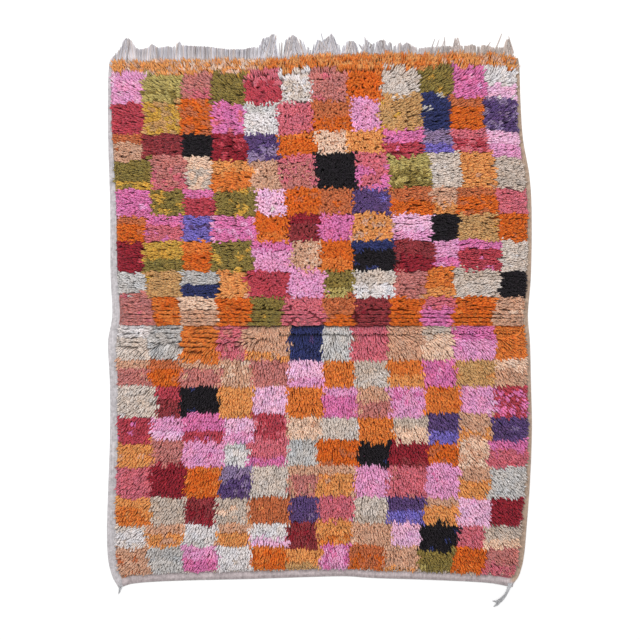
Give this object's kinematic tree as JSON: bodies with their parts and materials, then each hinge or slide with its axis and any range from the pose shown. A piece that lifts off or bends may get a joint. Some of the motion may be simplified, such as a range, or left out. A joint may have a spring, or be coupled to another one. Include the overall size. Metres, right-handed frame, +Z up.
{
  "type": "boucherouite rug",
  "caption": "Rectangular hand-knotted shag rug lying flat, with flat selvedges, a flat hem, a ragged warp fringe at its head and a loose warp tail off each foot corner.",
  "frame": {"origin": "on the floor under the middle of the rug's whole outline, fringe and tails included", "axes": "+Z up out of the pile, +Y along the length towards the fringed head, +X across the width"},
  "size_m": [1.2491, 1.6918, 0.0256],
  "materials": {
    "wool_pile": "knotted wool yarn in many dyes, matt",
    "warp_yarn": "undyed grey and cream spun yarn, matt"
  },
  "bodies": {
    "root": {"rug": "wool_pile", "head_fringe": "warp_yarn", "foot_tail_left": "warp_yarn", "foot_tail_right": "warp_yarn"}
  },
  "joints": []
}
